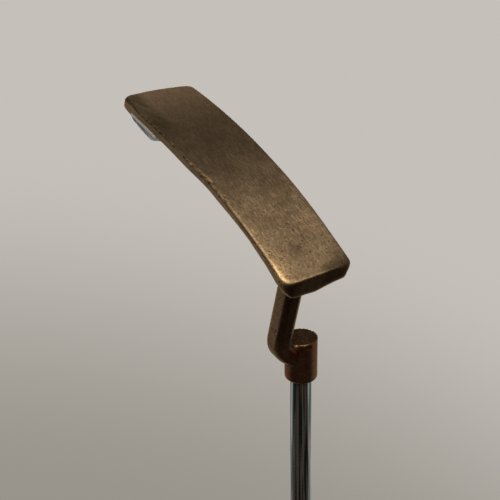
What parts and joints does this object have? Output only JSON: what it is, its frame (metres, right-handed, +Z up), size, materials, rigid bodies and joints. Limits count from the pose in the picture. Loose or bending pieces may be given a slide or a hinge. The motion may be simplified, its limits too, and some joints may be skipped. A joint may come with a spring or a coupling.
{
  "type": "blade putter",
  "caption": "Right-handed blade putter with a cast bronze heel-and-toe weighted head, crank neck, stepped chrome steel shaft and flat-front rubber grip.",
  "frame": {"origin": "where the lowest point of the rockered sole touches the ground, at the middle of the head, with the putter at address", "axes": "+X towards the toe, +Y towards the target (out of the face), +Z up from the ground"},
  "size_m": [0.408, 0.044, 0.8383],
  "materials": {
    "bronze": "aged cast bronze, brown patina, worn bright at the edges",
    "sight_paint": "worn off-white enamel",
    "epoxy": "cured club epoxy",
    "chrome_steel": "polished chrome over stepped steel",
    "tape": "double-sided masking tape",
    "grip_rubber": "moulded black rubber",
    "lead": "soft wrinkled lead foil"
  },
  "bodies": {
    "root": {"head": "bronze", "sight_line_paint": "sight_paint", "shaft_epoxy": "epoxy", "shaft": "chrome_steel", "grip_tape": "tape", "grip": "grip_rubber", "grip_cap": "grip_rubber", "lead_tape": "lead"}
  },
  "joints": []
}
